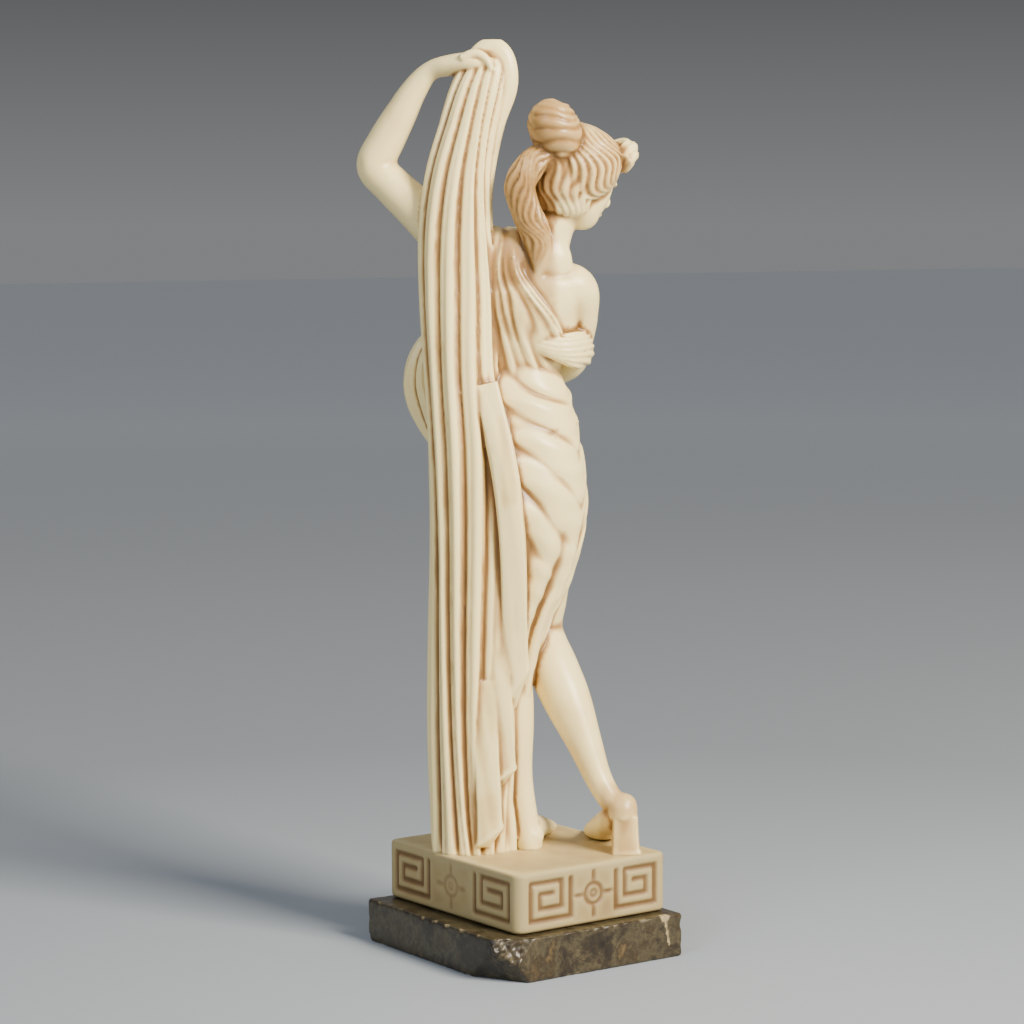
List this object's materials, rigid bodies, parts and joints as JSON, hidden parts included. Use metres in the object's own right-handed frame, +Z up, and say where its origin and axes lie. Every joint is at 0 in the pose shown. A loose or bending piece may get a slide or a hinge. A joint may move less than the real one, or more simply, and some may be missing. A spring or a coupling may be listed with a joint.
{
  "type": "draped goddess figurine",
  "caption": "Cast figurine of a draped classical goddess holding up her mantle, on its own key-patterned plinth, glued to a marble base.",
  "frame": {"origin": "middle of the marble base's underside, on the surface that it stands on", "axes": "+Z up; X along the shorter side of the marble base and Y along the longer one; the figure faces -X -Y and turns her back to +X +Y"},
  "size_m": [0.0899, 0.0906, 0.3414],
  "materials": {
    "cast_marble_resin": "ivory, satin, with golden brown antiquing left in the folds and grooves",
    "brown_marble": "mottled brown and grey-green, satin, with worn and chipped edges"
  },
  "bodies": {
    "root": {"figure_with_plinth": "cast_marble_resin", "marble_base": "brown_marble"}
  },
  "joints": []
}
